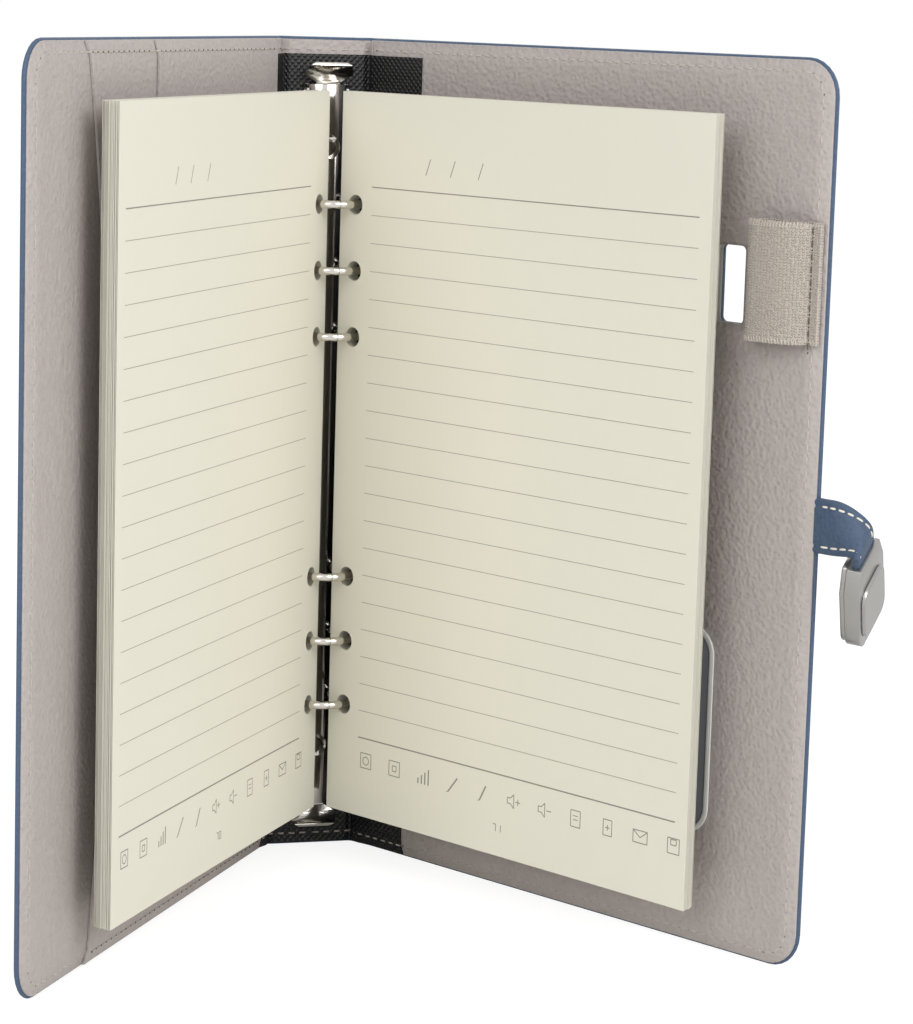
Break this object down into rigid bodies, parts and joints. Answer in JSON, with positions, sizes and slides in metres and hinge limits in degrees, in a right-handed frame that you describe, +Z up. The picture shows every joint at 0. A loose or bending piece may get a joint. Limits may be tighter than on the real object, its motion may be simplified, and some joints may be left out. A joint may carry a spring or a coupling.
{
  "type": "notebook organiser with a power bank",
  "caption": "Ring-bound notebook standing open, with padded leather covers, a power bank set in the back cover, inside pockets, a pen loop and a strap with a metal clasp.",
  "frame": {"origin": "on the lower edge that the book stands on, midway between the hinge axes of the two covers", "axes": "+X from the left (front) cover to the right (back) cover, +Y from the reader to the spine, +Z up the height of the book"},
  "size_m": [0.2295, 0.1685, 0.24],
  "materials": {
    "blue_leather": "grained, satin",
    "taupe_lining": "smooth leather-cloth, matt",
    "pocket_lining": "smooth leather-cloth, matt",
    "black_vinyl": "dotted texture",
    "grey_board": "pressed fibre board",
    "foam": "closed-cell padding",
    "nickel": "bright nickel plate",
    "steel": "plain",
    "satin_nickel": "satin nickel plate",
    "paper": "uncoated paper, matt",
    "elastic": "ribbed knit",
    "bank_plastic": "fine grain",
    "bank_face_plastic": "gloss",
    "trim_metal": "brushed",
    "cell_pouch": "foil",
    "copper": "bare",
    "circuit_green": "solder mask",
    "chip_black": "moulded",
    "clear_plastic": "clear"
  },
  "bodies": {
    "spine": {"spine_skin": "blue_leather", "spine_board": "grey_board", "spine_vinyl": "black_vinyl", "spine_hem": "taupe_lining", "ring_case": "nickel", "case_rivets": "nickel", "lever_pins": "steel"},
    "ring_left": {"ring_blade_left": "steel", "ring_halves_left": "nickel"},
    "ring_right": {"ring_blade_right": "steel", "ring_halves_right": "nickel"},
    "lever_top": {"lever_top": "nickel"},
    "lever_bottom": {"lever_bottom": "nickel"},
    "left_pages": {"left_leaves_1": "paper", "left_leaves_2": "paper", "left_leaves_3": "paper", "left_leaves_4": "paper"},
    "right_pages": {"right_leaves_1": "paper", "right_leaves_2": "paper", "right_leaves_3": "paper", "right_leaves_4": "paper"},
    "front_cover": {"front_skin": "blue_leather", "front_foam": "foam", "front_board": "grey_board", "front_lining": "taupe_lining", "front_vinyl": "black_vinyl", "large_pocket": "pocket_lining", "small_pocket": "pocket_lining", "keeper": "steel"},
    "back_cover": {"back_skin": "blue_leather", "back_foam": "foam", "back_board": "grey_board", "back_lining": "taupe_lining", "back_vinyl": "black_vinyl", "pen_loop": "elastic", "bank_case": "bank_plastic", "bank_trim": "trim_metal", "bank_face": "bank_face_plastic", "pouch_cells": "cell_pouch", "cell_leads": "copper", "circuit_board": "circuit_green", "circuit_chips": "chip_black", "usb_c_socket": "steel", "micro_usb_socket": "steel", "button_switch": "chip_black", "light_guides": "clear_plastic"},
    "power_button": {"power_button": "bank_plastic"},
    "strap": {"strap": "blue_leather"},
    "clasp": {"strap_end": "blue_leather", "clasp_body": "satin_nickel", "clasp_back": "satin_nickel", "clasp_face": "satin_nickel", "clasp_magnet": "steel", "clasp_pin": "steel"}
  },
  "joints": [
    {"name": "front_cover_crease", "type": "hinge", "parent": "spine", "child": "front_cover", "pos_m": [-0.014, 0, 0.12], "axis": [0, 0, -1], "range_deg": [-33.2, 56.8]},
    {"name": "back_cover_crease", "type": "hinge", "parent": "spine", "child": "back_cover", "pos_m": [0.014, 0, 0.12], "axis": [0, 0, 1], "range_deg": [-28.9, 61.1]},
    {"name": "left_pages_turn", "type": "hinge", "parent": "spine", "child": "left_pages", "pos_m": [0, -0.0137, 0.12], "axis": [0, 0, -1], "range_deg": [-33.2, 56.8]},
    {"name": "right_pages_turn", "type": "hinge", "parent": "spine", "child": "right_pages", "pos_m": [0, -0.0137, 0.12], "axis": [0, 0, 1], "range_deg": [-28.9, 61.1]},
    {"name": "right_rings_open", "type": "hinge", "parent": "spine", "child": "ring_right", "pos_m": [0.0056, -0.0035, 0.12], "axis": [0, 0, 1], "range_deg": [0, 7]},
    {"name": "left_rings_open", "type": "hinge", "parent": "spine", "child": "ring_left", "pos_m": [-0.0056, -0.0035, 0.12], "axis": [0, 0, -1], "range_deg": [0, 7]},
    {"name": "top_lever_turn", "type": "hinge", "parent": "spine", "child": "lever_top", "pos_m": [0, -0.0043, 0.2248], "axis": [-1, 0, 0], "range_deg": [0, 25]},
    {"name": "bottom_lever_turn", "type": "hinge", "parent": "spine", "child": "lever_bottom", "pos_m": [0, -0.0043, 0.0152], "axis": [1, 0, 0], "range_deg": [0, 25]},
    {"name": "power_button_press", "type": "slide", "parent": "back_cover", "child": "power_button", "axis": [0, 0, -1], "range_m": [0, 0.0005], "stiffness_N_per_m": 600, "springref_m": -0.0008},
    {"name": "strap_fold", "type": "hinge", "parent": "back_cover", "child": "strap", "pos_m": [0.09959, -0.15607, 0.12], "axis": [0, 0, 1], "range_deg": [-60, 20]},
    {"name": "clasp_fold", "type": "hinge", "parent": "strap", "child": "clasp", "pos_m": [0.1061, -0.16239, 0.11632], "axis": [0.5875, 0.6343, 0.5024], "range_deg": [-40, 10]}
  ],
  "couplings": [
    {"joint": "left_pages_turn", "follows": "front_cover_crease", "ratio": 1},
    {"joint": "right_pages_turn", "follows": "back_cover_crease", "ratio": 1},
    {"joint": "left_rings_open", "follows": "right_rings_open", "ratio": 1},
    {"joint": "top_lever_turn", "follows": "right_rings_open", "ratio": 3.57},
    {"joint": "bottom_lever_turn", "follows": "right_rings_open", "ratio": 3.57}
  ]
}
